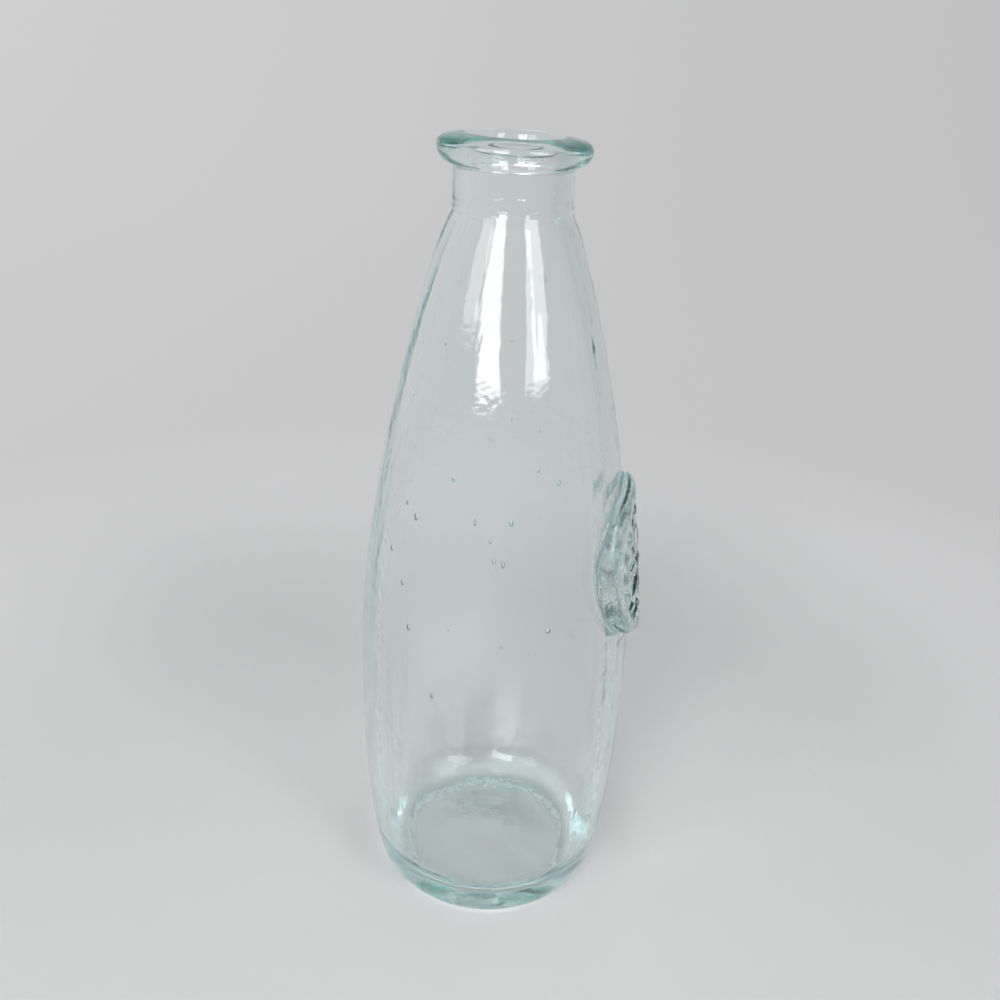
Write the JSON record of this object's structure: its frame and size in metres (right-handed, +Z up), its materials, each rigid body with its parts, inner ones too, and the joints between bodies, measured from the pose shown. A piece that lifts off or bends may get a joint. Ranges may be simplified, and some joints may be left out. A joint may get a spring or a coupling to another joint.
{
  "type": "milk bottle",
  "caption": "Small thick-walled milk bottle of pale green recycled glass, with a rolled lip, a long tapering shoulder and a round pressed glass seal on its front.",
  "frame": {"origin": "middle of the whole object's box on the plane that it stands on; the bottle's own axis stands 1.2 mm behind it, at y = 0.0012, because the seal stands out at the front", "axes": "+Z up along the bottle's axis, towards the mouth; -Y is the front, where the seal is"},
  "size_m": [0.0654, 0.0679, 0.184],
  "materials": {
    "bottle_glass": "clear pale green glass with fine waves and small bubbles",
    "seal_glass": "clear pale green glass, fire-polished, with a pressed pattern"
  },
  "bodies": {
    "root": {"glass_body": "bottle_glass", "seal_medallion": "seal_glass"}
  },
  "joints": []
}
